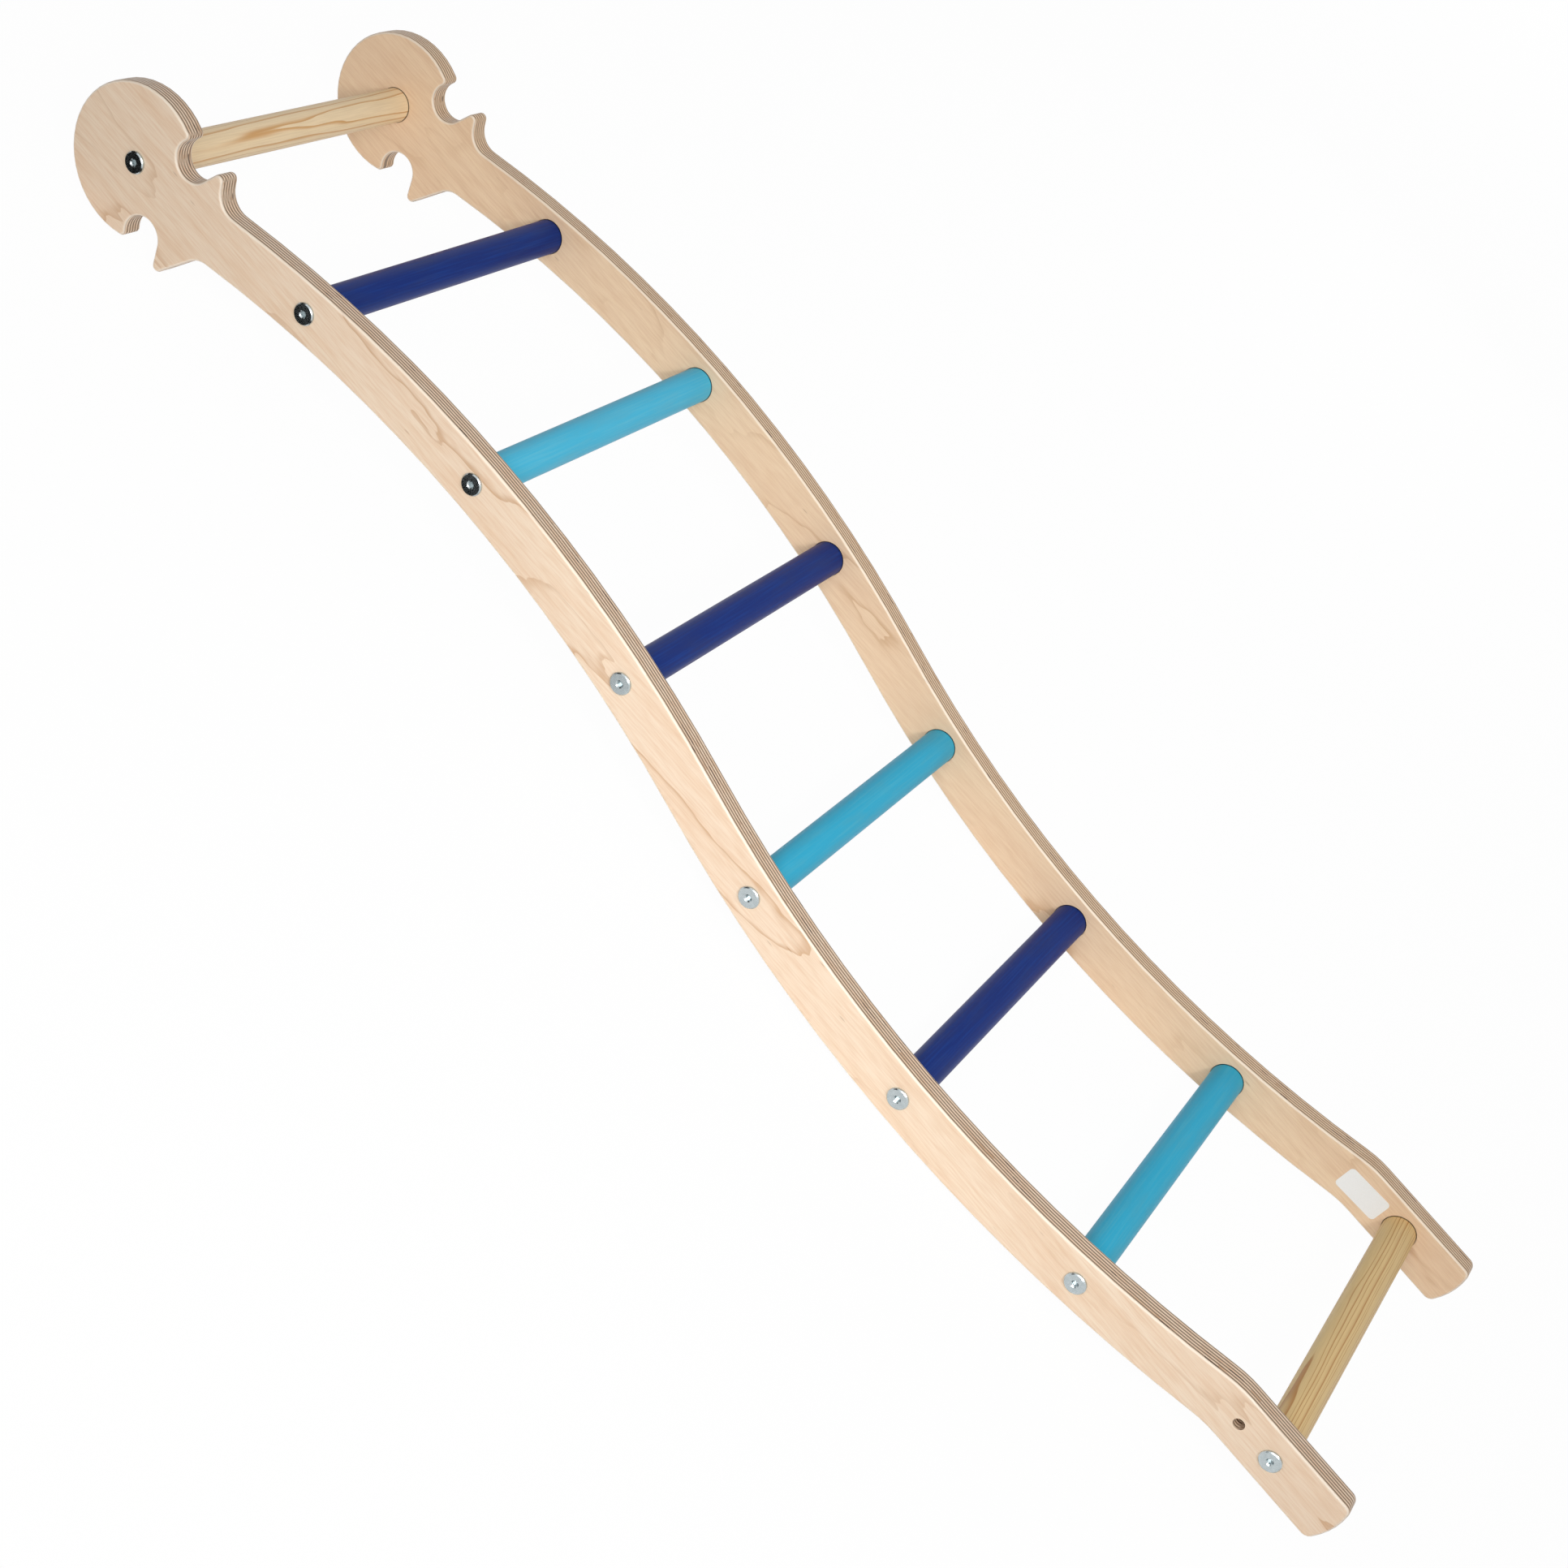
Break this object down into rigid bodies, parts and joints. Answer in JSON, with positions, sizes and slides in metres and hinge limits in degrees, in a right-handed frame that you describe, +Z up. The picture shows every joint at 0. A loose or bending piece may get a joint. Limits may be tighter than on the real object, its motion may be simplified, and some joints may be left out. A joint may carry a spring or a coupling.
{
  "type": "curved climbing ladder",
  "caption": "S-curved wooden climbing ladder for children: mirrored plywood rails with a hooked disc head and a straight foot, joined by bolted round rungs.",
  "frame": {"origin": "on the floor under the middle of the box, with the ladder lying on its head discs and on the lower bellies of its rails", "axes": "+X from the hooked head to the foot, +Y across from the left rail to the right rail, +Z up"},
  "size_m": [1.3345, 0.3348, 0.1194],
  "materials": {
    "birch_plywood": "birch plywood, sanded and clear-lacquered, layered edges",
    "pine": "natural pine, sanded and clear-lacquered",
    "navy_paint": "wood painted navy blue, satin",
    "light_blue_paint": "wood painted light blue, satin",
    "zinc_steel": "bright zinc-plated steel"
  },
  "bodies": {
    "root": {"left_rail": "birch_plywood", "right_rail": "birch_plywood", "rung_1": "pine", "rung_1_bolts": "zinc_steel", "rung_1_inserts": "zinc_steel", "rung_2": "navy_paint", "rung_2_bolts": "zinc_steel", "rung_2_inserts": "zinc_steel", "rung_3": "light_blue_paint", "rung_3_bolts": "zinc_steel", "rung_3_inserts": "zinc_steel", "rung_4": "navy_paint", "rung_4_bolts": "zinc_steel", "rung_4_inserts": "zinc_steel", "rung_5": "light_blue_paint", "rung_5_bolts": "zinc_steel", "rung_5_inserts": "zinc_steel", "rung_6": "navy_paint", "rung_6_bolts": "zinc_steel", "rung_6_inserts": "zinc_steel", "rung_7": "light_blue_paint", "rung_7_bolts": "zinc_steel", "rung_7_inserts": "zinc_steel", "rung_8": "pine", "rung_8_bolts": "zinc_steel", "rung_8_inserts": "zinc_steel"}
  },
  "joints": []
}
